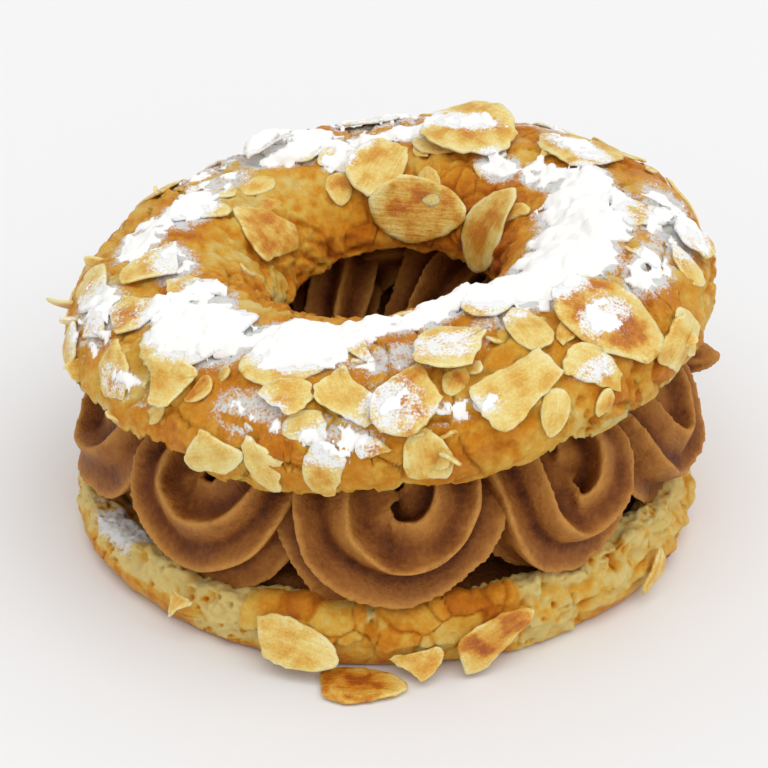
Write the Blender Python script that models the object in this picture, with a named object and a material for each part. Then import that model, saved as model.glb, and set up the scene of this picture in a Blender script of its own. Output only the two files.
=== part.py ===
"""A paris brest: a ring of choux pastry, split in two and filled with piped praline cream.

The base ring is a shallow trough that holds a bed of cream. Ten swirls, each piped with a star
nozzle, stand on the bed and on the rim round it. The lid ring lies on the swirls, lower on its
left side, and flaked almonds are baked onto the lid and the base.

Lengths are in metres and +Z is up. Angles go round the ring from its front (-Y) towards +X.
"""

import math

import bmesh
import bpy
from mathutils import Matrix, Vector, noise
from mathutils.bvhtree import BVHTree

MM = 0.001
GAP = 0.35 * MM  # free space between pieces that touch

RING_STEPS = 50

# The base: a trough with a broad torn rim, higher on the right.
BASE_RADIUS = 56.0 * MM
BASE_FOOT_RADIUS = 52.5 * MM
BASE_HOLE_RADIUS = 19.0 * MM
BASE_RIM_HEIGHT = 10.5 * MM
BASE_RIM_RISE = 2.6 * MM
BASE_RIM_RISE_AT = math.radians(65)
BASE_RIM_INSIDE = 48.5 * MM
BASE_INNER_RIM = 23.0 * MM
BASE_INNER_RIM_HEIGHT = 8.0 * MM
BASE_FLOOR = 4.0 * MM
TROUGH_SIDES = (1.0, 0.84, 0.5, -0.5, -0.84, -1.0)  # places from rim (1) to rim (-1)
BASE_LUMP = 0.8 * MM  # how far its skin swells in and out
BASE_LUMP_SIZE = 14.0 * MM
BASE_LUMP_SEED = 8
RIM_LUMP_SIZE = 11.0 * MM
RIM_LUMP_SEED = 3
TROUGH_EDGE_DROP = 0.8 * MM  # from the rim's top to where the trough begins
TROUGH_STEEPNESS = 5  # power of the curve from the trough's floor up to its rims
# The outer wall above its foot: (how far inside the widest line, height), and its upper part as
# (inset, share of the rim's height).
WALL_FOOT = (0.8 * MM, 1.8 * MM)
WALL_SHARES = ((0.0, 0.45), (1.0 * MM, 0.85), (2.6 * MM, 1.0))
# The inner lip: (outset from the hole, share of the inner rim's height).
LIP_SHARES = ((1.6 * MM, 1.05), (0.0, 0.5), (1.8 * MM, 0.0))

# The bed of cream in the base.
BED_RADIUS = 46.2 * MM
BED_HOLE_RADIUS = 24.4 * MM
BED_HEIGHT = 9.0 * MM
BED_EDGE_DROP = 0.8 * MM
BED_OUTER_ROUND = 2.5 * MM
BED_INNER_ROUND = 1.5 * MM

# The lid: a domed ring, cut flat below, that lies tilted on the swirls.
LID_RADIUS = 57.3 * MM
LID_HOLE_RADIUS = 19.5 * MM
LID_CUT_RADIUS = 54.6 * MM
LID_WAIST = 6.0 * MM  # height of its widest line above the cut
LID_DOME = 14.0 * MM  # height of its crest above that line
LID_INNER_RISE = 5.4 * MM  # how far the crust at the back of the hole stops above the cut
LID_LUMP = 1.1 * MM
LID_LUMP_SIZE = 13.0 * MM
LID_LUMP_SEED = 21
LID_LUMP_SPREAD = 0.3  # how far below the waist the lumps fade out
LID_ARC_STEPS = 11
LID_OFFSET = Vector((1.3 * MM, 0.0, 35.0 * MM))
LID_TILT = math.radians(6.5)

# The swirls: a star-shaped rope of cream, laid in a loop that opens upwards. The angles at which
# one ends and the next begins, going round, and how far each stands out from the loop below.
SWIRL_EDGES = (-58, -18, 22, 53, 84, 117, 152, 188, 224, 262)
SWIRL_OUT = (0.5, 2.0, 1.5, 2.5, 1.5, 0.5, 1.0, 0.0, 1.0, 0.0)  # in millimetres
SWIRL_WIDTH = math.radians(36)  # of the loop as drawn below
SWIRL_RIDGES = 10
SWIRL_RIDGE_DEPTH = 0.20  # of the rope's radius
SWIRL_ROPE = 9.6 * MM
SWIRL_TWIST = math.radians(75)
SWIRL_STATIONS = 34
SWIRL_HEIGHT = 25.0 * MM  # of the loop as drawn below, before it is fitted under the lid
SWIRL_VOXEL = 0.9 * MM
SWIRL_TRIANGLES = 300
FIT_RADIUS = 40.0 * MM  # where the loop's height is fitted under the lid
ROOM_STEPS = 6
RIM_CLEARANCE = 0.5 * MM
RIM_REACH = 2.0 * MM  # how far inside the rim a swirl's room begins to rise over it
SWIRL_OUTER_LIMIT = 57.0 * MM
TAIL_LIMIT = 62.0 * MM
SWIRL_INNER_LIMIT = 18.0 * MM
# The loop: (along the ring, from the ring's axis, above the bed), and the rope's share there.
SWIRL_LOOP = (
    ((0.0, 26.0, 4.0), 0.68),
    ((-1.5, 26.5, 13.0), 0.75),
    ((-5.5, 33.0, 19.0), 0.85),
    ((-8.0, 40.0, 17.0), 1.0),
    ((-6.5, 44.5, 11.5), 1.0),
    ((-1.0, 46.0, 9.0), 1.0),
    ((5.0, 45.5, 11.5), 1.0),
    ((7.8, 42.5, 17.5), 0.92),
    ((5.5, 36.5, 22.0), 0.75),
    ((1.5, 32.0, 24.0), 0.45),
)
# The tail of cream that was drawn outwards when the nozzle left one of the swirls.
TAIL_OF = 4
TAIL_LINE = ((0.0, 48.0, 17.0), (-1.0, 53.0, 18.5), (-2.5, 57.0, 18.5), (-4.0, 60.5, 17.5))
TAIL_RADII = (4.5, 3.8, 2.2, 0.5)

# The almond flakes: thin curved slices, pointed at one end.
FLAKE_THICKNESS = 0.9 * MM
FLAKE_SIDES = 10
FLAKE_WIDTH_SHARE = 0.64
FLAKE_TAPER = 0.22  # how much one end is narrower and the other wider
FLAKE_OVERHANG_DROP = 0.15  # of its length, where a flake hangs out over nothing
FLAKE_DROOP = 0.5  # how far a flake follows the crust below it, from 0 (flat) to 1
FLAKE_REACH = 6.0 * MM
FLAKE_LIFT = 0.25 * MM  # step by which a flake is raised until it is clear of what it lies on
# Flakes on the lid: angle round the ring, place over the dome (0 at the outer waist, 90 at the
# crest, 180 at the hole), heading, length in millimetres, and for one that leans up from the
# crust, how far it is turned.
LID_FLAKES = (
    (-44, 68, 55, 20), (-19, 66, 10, 16), (-17, 36, 10, 10), (-7, 40, 120, 14), (-41, 32, 0, 12),
    (-30, 6, 20, 13), (-20, 4, 120, 11), (-10, 2, 90, 11), (-64, 58, 60, 12), (-84, 38, 5, 13),
    (-76, 12, 0, 11), (-56, 24, -50, 12), (-80, 86, 80, 14), (-112, 98, 30, 15), (-118, 150, 100, 16),
    (-155, 84, 0, 17), (-148, 76, 20, 14), (-167, 118, 100, 13), (180, 130, 75, 15),
    (161, 159, 0, 17), (119, 159, 80, 16), (158, 94, 0, 16), (151, 86, -5, 19, 36), (124, 70, 0, 18),
    (87, 62, 30, 15), (47, 40, -68, 20), (38, 20, -40, 12), (25, 28, 12, 18), (5, 32, 50, 14),
    (6, 4, 100, 11), (14, 56, 5, 14), (31, 60, 80, 10), (57, 8, 20, 12), (84, 28, 0, 12),
    (-178, 50, 20, 15), (-125, 40, 60, 14), (140, 26, 10, 15), (108, 8, 60, 13),
)
# Flakes low on the base: angle, distance from the ring's axis and height in millimetres, how far
# they face up (90 lies flat), heading, and length.
BASE_FLAKES = (
    (-15, 57.0, 5.2, 40, -12, 16), (5, 57.5, 4.0, 30, 10, 9), (18, 57.0, 5.0, 15, 28, 16),
    (-37.5, 56.5, 7.0, 40, 60, 8), (54, 57.5, 5.5, 0, 80, 10), (125, 57.5, 6.0, 5, 70, 13),
    (-150, 57.5, 6.0, 5, 80, 14),
)
FLOOR_FLAKE = (-4, 60.2, 0.0, 90, 0, 15)  # one that lies on the floor against the base's foot

CRUST_COLOUR = (0.72, 0.40, 0.12)
CRUMB_COLOUR = (0.80, 0.55, 0.20)
CREAM_COLOUR = (0.32, 0.16, 0.075)
ALMOND_COLOUR = (0.80, 0.56, 0.25)


def clear_scene():
    for obj in list(bpy.data.objects):
        bpy.data.objects.remove(obj)


def material(name, colour, roughness):
    made = bpy.data.materials.new(name)
    made.use_nodes = True
    shader = made.node_tree.nodes["Principled BSDF"]
    shader.inputs["Base Color"].default_value = (*colour, 1.0)
    shader.inputs["Roughness"].default_value = roughness
    shader.inputs["Metallic"].default_value = 0.0
    return made


def ring_point(angle, radius, height):
    return Vector((radius * math.sin(angle), -radius * math.cos(angle), height))


def lump(point, size, seed):
    """A smooth bump from -1 to 1, about size across, that is the same on every run."""
    return noise.noise(point / size + Vector((0.0, 0.0, seed)))


def smooth_shaded(mesh, limit=math.radians(50)):
    mesh.shade_smooth()
    mesh.set_sharp_from_angle(angle=limit)


def object_from(name, points, faces, finish, parent):
    """A closed mesh object whose faces point outwards."""
    mesh = bpy.data.meshes.new(name)
    mesh.from_pydata([tuple(p) for p in points], [], faces)
    shape = bmesh.new()
    shape.from_mesh(mesh)
    bmesh.ops.recalc_face_normals(shape, faces=shape.faces)
    shape.to_mesh(mesh)
    shape.free()
    smooth_shaded(mesh)
    obj = bpy.data.objects.new(name, mesh)
    bpy.context.scene.collection.objects.link(obj)
    obj.parent = parent
    if finish:
        mesh.materials.append(finish)
    return obj


def lofted(sections, closed):
    """Points and faces that join equal sections in turn, as a ring if closed, or else capped."""
    count = len(sections[0])
    points = [p for section in sections for p in section]
    faces = []
    for i in range(len(sections) if closed else len(sections) - 1):
        here, after = i * count, (i + 1) % len(sections) * count
        for j in range(count):
            k = (j + 1) % count
            faces.append((here + j, here + k, after + k, after + j))
    if not closed:
        faces.append(tuple(range(count)))
        faces.append(tuple(range(len(points) - count, len(points))))
    return points, faces


def ring_object(name, profile_at, finish, parent):
    """A ring whose cross-section, a loop of (radius, height), may change with the angle."""
    sections = []
    for i in range(RING_STEPS):
        angle = 2 * math.pi * i / RING_STEPS
        sections.append([ring_point(angle, r, z) for r, z in profile_at(angle)])
    points, faces = lofted(sections, closed=True)
    return object_from(name, points, faces, finish, parent)


# --- the base -----------------------------------------------------------------------------


def rim_height(angle):
    """Height of the base's outer rim, uneven and higher on the right."""
    rise = BASE_RIM_RISE * math.cos(angle - BASE_RIM_RISE_AT)
    uneven = lump(ring_point(angle, BASE_RADIUS, 0), RIM_LUMP_SIZE, RIM_LUMP_SEED)
    return BASE_RIM_HEIGHT + rise + BASE_LUMP * uneven


def trough_line(angle):
    """(radius, height) across the base's inside: a flat floor that curves up to both rims."""
    middle = (BASE_RIM_INSIDE + BASE_INNER_RIM) / 2
    half = (BASE_RIM_INSIDE - BASE_INNER_RIM) / 2
    outer_top, inner_top = rim_height(angle) - TROUGH_EDGE_DROP, BASE_INNER_RIM_HEIGHT
    line = []
    for side in TROUGH_SIDES:
        top = outer_top if side > 0 else inner_top
        rise = (top - BASE_FLOOR) * abs(side) ** TROUGH_STEEPNESS
        line.append((middle + half * side, BASE_FLOOR + rise))
    return line


def base_profile(angle):
    uneven = lump(ring_point(angle, BASE_RADIUS, 0), BASE_LUMP_SIZE, BASE_LUMP_SEED)
    outer = BASE_RADIUS + BASE_LUMP * uneven
    inner = BASE_HOLE_RADIUS - 0.5 * BASE_LUMP * uneven
    wall = [(outer - BASE_RADIUS + BASE_FOOT_RADIUS, 0.0), (outer - WALL_FOOT[0], WALL_FOOT[1])]
    wall += [(outer - inset, share * rim_height(angle)) for inset, share in WALL_SHARES]
    lip = [(inner + outset, share * BASE_INNER_RIM_HEIGHT) for outset, share in LIP_SHARES]
    return wall + trough_line(angle) + lip


# --- the cream's bed ----------------------------------------------------------------------


def bed_profile(angle):
    """Fills the trough up to BED_HEIGHT, with rounded edges."""
    middle = (BED_RADIUS + BED_HOLE_RADIUS) / 2
    low = []
    for radius, height in trough_line(angle)[-2:0:-1]:
        inward = GAP if radius < middle else -GAP
        low.append((radius + inward, height + GAP))
    high = [
        (BED_RADIUS, BED_HEIGHT - BED_EDGE_DROP),
        (BED_RADIUS - BED_OUTER_ROUND, BED_HEIGHT),
        (BED_HOLE_RADIUS + BED_INNER_ROUND, BED_HEIGHT),
        (BED_HOLE_RADIUS, BED_HEIGHT - BED_EDGE_DROP),
    ]
    return low + high


# --- the lid ------------------------------------------------------------------------------


def lid_profile(angle):
    """An ellipse on its widest line, cut flat below, with lumps pushed out along the crust."""
    middle = (LID_RADIUS + LID_HOLE_RADIUS) / 2
    half = (LID_RADIUS - LID_HOLE_RADIUS) / 2
    cut_turn = math.acos((LID_CUT_RADIUS - middle) / half)
    below = LID_WAIST / math.sin(cut_turn)
    inner_rise = LID_INNER_RISE * (0.5 - 0.5 * math.cos(angle))
    end_turn = math.pi + math.asin((LID_WAIST - inner_rise) / below)
    profile = []
    for i in range(LID_ARC_STEPS + 1):
        turn = -cut_turn + (end_turn + cut_turn) * i / LID_ARC_STEPS
        across, up = math.cos(turn), math.sin(turn)
        radius = middle + half * across
        height = LID_WAIST + (LID_DOME if up > 0 else below) * up
        uneven = lump(ring_point(angle, radius, height), LID_LUMP_SIZE, LID_LUMP_SEED)
        push = LID_LUMP * uneven * max(up + LID_LUMP_SPREAD, 0)
        profile.append((radius + push * across, height + push * up))
    return profile


def lid_matrix():
    return Matrix.Translation(LID_OFFSET) @ Matrix.Rotation(-LID_TILT, 4, "Y")


def lid_cut_height(point):
    """Height of the lid's cut face over a point."""
    return LID_OFFSET.z + math.tan(LID_TILT) * (point.x - LID_OFFSET.x)


# --- the swirls ---------------------------------------------------------------------------


def on_spline(values, place):
    """A Catmull-Rom spline through values, read at place from 0 to 1."""
    spans = len(values) - 1
    at = min(int(place * spans), spans - 1)
    t = place * spans - at
    a, b, c, d = (values[min(max(at + k, 0), spans)] for k in (-1, 0, 1, 2))
    bend, twist = 2 * a - 5 * b + 4 * c - d, 3 * b - a - 3 * c + d
    return 0.5 * (2 * b + (c - a) * t + bend * t * t + twist * t**3)


def star_rope(line, radii):
    """Sections of a rope with a star-shaped outline, that turns slowly as it goes along."""
    sections = []
    side = Vector((0.0, 0.0, 1.0))
    for i, here in enumerate(line):
        ahead = (line[min(i + 1, len(line) - 1)] - line[max(i - 1, 0)]).normalized()
        side = (side - ahead * side.dot(ahead)).normalized()
        up = ahead.cross(side)
        twist = SWIRL_TWIST * i / (len(line) - 1)
        section = []
        for k in range(2 * SWIRL_RIDGES):
            turn = math.pi * k / SWIRL_RIDGES + twist
            reach = radii[i] * (1.0 if k % 2 else 1.0 - SWIRL_RIDGE_DEPTH)
            section.append(here + side * (math.cos(turn) * reach) + up * (math.sin(turn) * reach))
        sections.append(section)
    return sections


def swirl_line(angle, width, out):
    """The loop's centre line and radii, turned to its place and fitted between bed and lid."""
    places = [Vector(p) * MM for p, _ in SWIRL_LOOP]
    shares = [share for _, share in SWIRL_LOOP]
    outward = ring_point(angle, 1.0, 0.0)
    along = Vector((math.cos(angle), math.sin(angle), 0.0))
    widen = width / SWIRL_WIDTH
    stretch = (lid_cut_height(outward * FIT_RADIUS) - BED_HEIGHT) / SWIRL_HEIGHT
    line, radii = [], []
    for i in range(SWIRL_STATIONS):
        t, r, z = on_spline(places, i / (SWIRL_STATIONS - 1))
        lift = Vector((0, 0, BED_HEIGHT + z * stretch))
        line.append(along * t * widen + outward * (r + out) + lift)
        radii.append(SWIRL_ROPE * (0.5 + 0.5 * widen) * on_spline(shares, i / (SWIRL_STATIONS - 1)))
    return line, radii


def tail_sections(angle):
    """Sections of the tail, from inside its swirl out to its point."""
    outward = ring_point(angle, 1.0, 0.0)
    along = Vector((math.cos(angle), math.sin(angle), 0.0))
    line = []
    for t, r, z in TAIL_LINE:
        line.append((along * t + outward * r + Vector((0, 0, z))) * MM + Vector((0, 0, BED_HEIGHT)))
    return star_rope(line, [radius * MM for radius in TAIL_RADII])


def evaluated_mesh(obj):
    graph = bpy.context.evaluated_depsgraph_get()
    return bpy.data.meshes.new_from_object(obj.evaluated_get(graph))


def swirl_room(name, first, width, limit, parent):
    """The space between two neighbours, the bed, the rim and the lid, that one swirl can fill."""
    sections = []
    for i in range(ROOM_STEPS + 1):
        angle = first + width * i / ROOM_STEPS
        along = Vector((math.cos(angle), math.sin(angle), 0.0))
        shift = along * (GAP / 2) * (1 if i == 0 else -1 if i == ROOM_STEPS else 0)
        rim = rim_height(angle) + RIM_CLEARANCE
        bed = BED_HEIGHT + GAP
        low = [(SWIRL_INNER_LIMIT, bed), (BASE_RIM_INSIDE - RIM_REACH, bed), (BASE_RIM_INSIDE, rim)]
        low.append((limit, rim))
        section = [ring_point(angle, r, z) + shift for r, z in low]
        for r in (limit, SWIRL_INNER_LIMIT):
            top = ring_point(angle, r, 0.0)
            top.z = lid_cut_height(top) - GAP
            section.append(top + shift)
        sections.append(section)
    points, faces = lofted(sections, closed=False)
    room = object_from(name, points, faces, None, parent)
    room.hide_render = True
    room.display_type = "WIRE"
    return room


def swirl_object(name, first, width, out, tailed, finish, parent):
    """A rope loop, merged where it meets itself, thinned, and cut to the room it has."""
    line, radii = swirl_line(first + width / 2, width, out)
    points, faces = lofted(star_rope(line, radii), closed=False)
    if tailed:
        more, more_faces = lofted(tail_sections(first + width / 2), closed=False)
        faces += [tuple(index + len(points) for index in face) for face in more_faces]
        points += more
    swirl = object_from(name, points, faces, finish, parent)
    merge = swirl.modifiers.new("Merge", "REMESH")
    merge.mode = "VOXEL"
    merge.voxel_size = SWIRL_VOXEL
    triangles = 2 * len(evaluated_mesh(swirl).polygons)
    thin = swirl.modifiers.new("Thin", "DECIMATE")
    thin.use_collapse_triangulate = True
    thin.ratio = SWIRL_TRIANGLES / triangles
    fit = swirl.modifiers.new("Fit", "BOOLEAN")
    fit.operation = "INTERSECT"
    limit = TAIL_LIMIT if tailed else SWIRL_OUTER_LIMIT
    fit.object = swirl_room(name + "_room", first, width, limit, parent)
    swirl.data = evaluated_mesh(swirl)
    swirl.modifiers.clear()
    smooth_shaded(swirl.data, math.radians(60))
    return swirl


# --- the almond flakes --------------------------------------------------------------------


def flake_outline(length):
    """Points round a flake: an ellipse with one end drawn out to a blunt point."""
    points = []
    for k in range(FLAKE_SIDES):
        turn = 2 * math.pi * k / FLAKE_SIDES
        narrowing = 1.0 - FLAKE_TAPER * math.cos(turn)
        across = 0.5 * length * FLAKE_WIDTH_SHARE * narrowing * math.sin(turn)
        points.append((0.5 * length * math.cos(turn), across))
    return points


def flake_mesh(place, normal, heading, length, ground):
    """A thin slice laid on the ground: flat in the middle, and drooping part of the way with it."""
    normal = normal.normalized()
    level = Vector((0, 0, 1)).cross(normal).normalized()
    rise = normal.cross(level)
    forward = level * math.cos(heading) + rise * math.sin(heading)
    sideways = normal.cross(forward)
    below, above = [], []
    for along, across in [(0.0, 0.0)] + flake_outline(length):
        spot = place + forward * along + sideways * across
        drop = 0.0
        if ground:
            hit = ground.ray_cast(spot + normal * FLAKE_REACH, -normal, 2 * FLAKE_REACH)[0]
            drop = (hit - place).dot(normal) if hit else -FLAKE_OVERHANG_DROP * length
        below.append(spot + normal * max(drop, FLAKE_DROOP * drop))
        above.append(below[-1] + normal * FLAKE_THICKNESS)
    count = len(below)
    faces = []
    for k in range(1, count):
        after = k + 1 if k + 1 < count else 1
        faces.append((0, after, k))
        faces.append((count, count + k, count + after))
        faces.append((k, after, count + after, count + k))
    points = below + above
    sunk = Vector((0, 0, max(0.0, -min(p.z for p in points))))
    points = [p + sunk for p in points]
    while ground and BVHTree.FromPolygons(points, faces).overlap(ground):
        points = [p + normal * FLAKE_LIFT for p in points]
    return [p + normal * GAP for p in points], faces


def surface_of(obj):
    """The points and faces of an object, in its own frame."""
    points = [v.co.copy() for v in obj.data.vertices]
    return points, [tuple(face.vertices) for face in obj.data.polygons]


def lay_flakes(name, places, crust, finish):
    """Lays flakes in turn on a crust, and on the flakes that are already there."""
    points, faces = surface_of(crust)
    for i, (place, normal, heading, length) in enumerate(places):
        ground = BVHTree.FromPolygons(points, faces)
        flake, sides = flake_mesh(place, normal, heading, length, ground)
        object_from(f"{name}_{i + 1:02d}", flake, sides, finish, crust)
        faces += [tuple(index + len(points) for index in side) for side in sides]
        points += flake


def place_on_lid(bare, angle, over, heading, length, lean=0):
    """Where a row of LID_FLAKES comes down on the bare crust, and which way it faces."""
    outward = ring_point(math.radians(angle), 1.0, 0.0)
    turn = math.radians(over)
    direction = outward * math.cos(turn) + Vector((0, 0, math.sin(turn)))
    middle = outward * (LID_RADIUS + LID_HOLE_RADIUS) / 2 + Vector((0, 0, LID_WAIST))
    place, normal, _, _ = bare.ray_cast(middle + direction * LID_RADIUS, -direction)
    normal = Matrix.Rotation(math.radians(lean), 3, Vector((0, 0, 1)).cross(normal)) @ normal
    return place, normal, math.radians(heading), length * MM


def place_by_base(angle, radius, height, tilt, heading, length):
    """The place a row of BASE_FLAKES gives, and which way it faces."""
    outward = ring_point(math.radians(angle), 1.0, 0.0)
    turn = math.radians(tilt)
    normal = outward * math.cos(turn) + Vector((0, 0, math.sin(turn)))
    place = outward * radius * MM + Vector((0, 0, height * MM))
    return place, normal, math.radians(heading), length * MM


# --- the whole ----------------------------------------------------------------------------


def centre_on_origin(root):
    """Moves the pastry so that its box stands centred on the origin, with its foot at z = 0."""
    bpy.context.view_layer.update()
    points = []
    for obj in root.children_recursive:
        if not obj.hide_render:
            points += [obj.matrix_world @ v.co for v in obj.data.vertices]
    for axis in (0, 1):
        values = [point[axis] for point in points]
        root.location[axis] -= (min(values) + max(values)) / 2


def main():
    clear_scene()
    crust = material("choux_crust", CRUST_COLOUR, 0.45)
    crumb = material("choux_base", CRUMB_COLOUR, 0.6)
    cream = material("praline_cream", CREAM_COLOUR, 0.5)
    almond = material("almond", ALMOND_COLOUR, 0.5)

    root = bpy.data.objects.new("paris_brest", None)
    bpy.context.scene.collection.objects.link(root)

    base = ring_object("base_choux", base_profile, crumb, root)
    ring_object("cream_bed", bed_profile, cream, root)
    for i, out in enumerate(SWIRL_OUT):
        first = math.radians(SWIRL_EDGES[i])
        width = (math.radians(SWIRL_EDGES[(i + 1) % len(SWIRL_EDGES)]) - first) % (2 * math.pi)
        swirl_object(f"cream_swirl_{i + 1:02d}", first, width, out * MM, i == TAIL_OF, cream, root)
    lid = ring_object("lid_choux", lid_profile, crust, root)
    lid.matrix_basis = lid_matrix()
    bare_lid = BVHTree.FromPolygons(*surface_of(lid))
    lay_flakes("lid_almond", [place_on_lid(bare_lid, *row) for row in LID_FLAKES], lid, almond)
    lay_flakes("base_almond", [place_by_base(*row) for row in BASE_FLAKES], base, almond)
    flake, sides = flake_mesh(*place_by_base(*FLOOR_FLAKE), None)
    object_from("floor_almond", flake, sides, almond, base)
    centre_on_origin(root)


main()
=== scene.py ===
"""Looks of the paris brest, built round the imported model.

Shapes are worked out in millimetres and become metres when a mesh is made. +Z is up. Angles are in
degrees, and go round the ring from its front (-Y) towards +X. Every noise is given its size in
millimetres and a seed, and where it has several octaves their number comes last.
"""

import itertools
import math

import bpy
import numpy as np
from mathutils import Matrix, Vector, noise
from mathutils.bvhtree import BVHTree


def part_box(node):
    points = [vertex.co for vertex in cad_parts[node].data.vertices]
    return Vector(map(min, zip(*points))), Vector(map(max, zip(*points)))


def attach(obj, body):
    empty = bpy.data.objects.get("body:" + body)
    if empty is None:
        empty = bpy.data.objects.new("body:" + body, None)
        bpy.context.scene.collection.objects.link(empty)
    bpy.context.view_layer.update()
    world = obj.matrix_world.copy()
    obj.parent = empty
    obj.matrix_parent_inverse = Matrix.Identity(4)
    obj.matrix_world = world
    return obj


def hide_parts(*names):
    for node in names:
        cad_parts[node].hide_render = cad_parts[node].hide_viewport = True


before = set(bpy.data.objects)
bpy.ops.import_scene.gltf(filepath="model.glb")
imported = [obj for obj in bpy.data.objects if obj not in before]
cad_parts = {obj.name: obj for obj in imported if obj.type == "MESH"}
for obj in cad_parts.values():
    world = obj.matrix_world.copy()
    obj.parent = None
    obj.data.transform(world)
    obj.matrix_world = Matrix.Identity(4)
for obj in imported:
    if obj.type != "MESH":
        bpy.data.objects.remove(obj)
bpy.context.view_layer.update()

MM = 0.001
CENTRE = sum(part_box("cream_bed"), Vector()) / 2 / MM  # the ring's middle
CENTRE.z = 0.0

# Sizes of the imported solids, in millimetres.
BASE_RADIUS, BASE_HOLE_RADIUS = 56.0, 19.0
BASE_RIM_HEIGHT, BASE_RIM_RISE, BASE_RIM_RISE_AT = 10.5, 2.6, 65
BASE_RIM_INSIDE, BASE_INNER_RIM, BASE_INNER_RIM_HEIGHT, BASE_FLOOR = 48.5, 23.0, 8.0, 4.0
BASE_LUMP = 0.8
BED_HEIGHT = 9.0
LID_RADIUS, LID_HOLE_RADIUS, LID_CUT_RADIUS, LID_WAIST, LID_DOME = 57.3, 19.5, 54.6, 6.0, 14.0
LID_INNER_RISE, LID_LUMP = 5.4, 1.1
LID_OFFSET, LID_TILT = Vector((1.3, 0.0, 35.0)), math.radians(6.5)
LID_MIDDLE = (LID_RADIUS + LID_HOLE_RADIUS) / 2
LID_HALF = (LID_RADIUS - LID_HOLE_RADIUS) / 2
LID_CUT_TURN = math.acos((LID_CUT_RADIUS - LID_MIDDLE) / LID_HALF)
LID_BELOW = LID_WAIST / math.sin(LID_CUT_TURN)
SWIRL_EDGES = (-58, -18, 22, 53, 84, 117, 152, 188, 224, 262)
SWIRL_OUT = (0.5, 2.0, 1.5, 2.5, 1.5, 0.5, 1.0, 0.0, 1.0, 0.0)
SWIRL_WIDTH = 36

# The lid's outer edge: how far it stops above the cut, by angle.
LID_EDGE = (
    (-180, 1), (-140, 2.5), (-110, 1), (-85, 3), (-70, 5.5), (-60, 6), (-36, 5.5), (-30, 1.5),
    (-20, 0), (-6, 0.5), (0, 1.5), (2, 3.5), (5, 1), (17, 0), (25, 0.3), (28, 4), (33, 2.5),
    (38, 0), (50, 0), (57, 1.5), (75, 2), (95, 0.5), (120, 2.5), (150, 0.5), (180, 1),
)


# --- numbers ---


def cell_random(cells, seed):
    """A number from 0 to 1 for each whole-numbered cell, the same on every run."""
    x, y, z = (cells[..., k].astype(np.int64) for k in range(3))
    mixed = x * 374761393 + y * 668265263 + z * 1440670441 + seed * 974634777
    mixed = (mixed ^ (mixed >> 13)) * 1274126177
    mixed = (mixed ^ (mixed >> 16)) * 668265263
    return ((mixed ^ (mixed >> 15)) & 0xFFFFFF) / 0xFFFFFF


def rough(points, size, seed, octaves=1):
    """Smooth noise from -1 to 1, about size across."""
    total, weight, reach = 0.0, 1.0, 0.0
    for octave in range(octaves):
        place = points / size * 2.0**octave + 0.37 * octave
        cell = np.floor(place)
        f = place - cell
        f = f * f * f * (f * (f * 6 - 15) + 10)
        value = 0.0
        for corner in itertools.product((0, 1), repeat=3):
            share = np.prod(np.where(corner, f, 1 - f), axis=-1)
            value = value + share * cell_random(cell + corner, seed + octave)
        total = total + weight * (2 * value - 1)
        reach += weight
        weight *= 0.5
    return total / reach


def rough_vectors(points, size, seed):
    """Smooth noise with three values at each point."""
    return np.stack([rough(points, size, seed + k) for k in range(3)], -1)


def blistered(points, size, seed):
    """Rounded bumps with sharp creases between them, from 0 to about 1."""
    return np.abs(rough(points, size, seed)) ** 0.8


def cellular(points, size, seed):
    """Distance to the nearest of scattered seeds, how much further the next is, and a number
    from 0 to 1 for the nearest."""
    place = points / size
    cell = np.floor(place)
    first = np.full(place.shape[:-1], 9.0)
    second, owner = first.copy(), np.zeros_like(first)
    for corner in itertools.product((-1, 0, 1), repeat=3):
        there = cell + corner
        spot = there + np.stack([cell_random(there, seed + k) for k in range(3)], -1)
        gap = np.linalg.norm(spot - place, axis=-1)
        closer = gap < first
        second = np.where(closer, first, np.minimum(second, gap))
        owner = np.where(closer, cell_random(there, seed + 7), owner)
        first = np.where(closer, gap, first)
    return first * size, (second - first) * size, owner


def smooth_step(values, low, high):
    t = np.clip((values - low) / (high - low), 0, 1)
    return t * t * (3 - 2 * t)


def bump_at(angles, middle, half_width, soft=3.0):
    """1 within half_width degrees of an angle, falling to 0 over soft degrees."""
    away = np.abs((angles - middle + 180) % 360 - 180)
    return 1 - smooth_step(away, half_width, half_width + soft)


def unit(vectors):
    """Vectors made one long."""
    return vectors / np.maximum(np.linalg.norm(vectors, axis=-1, keepdims=True), 1e-9)


def ring_points(angles, radii, heights):
    """Points round the ring's own middle."""
    turn = np.radians(angles)
    return np.stack([radii * np.sin(turn), -radii * np.cos(turn), heights + 0 * turn], -1)


def catmull_rom(a, b, c, d, t):
    """A smooth curve from b to c as t goes from 0 to 1."""
    square = (2 * a - 5 * b + 4 * c - d) * t**2
    return 0.5 * (2 * b + (c - a) * t + square + (3 * b - a - 3 * c + d) * t**3)


def lumps(points, size, seed):
    """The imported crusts' own bumps."""
    flat = points.reshape(-1, 3) / size
    values = [noise.noise((x, y, z + seed)) for x, y, z in flat.tolist()]
    return np.array(values).reshape(points.shape[:-1])


# --- meshes ---


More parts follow.
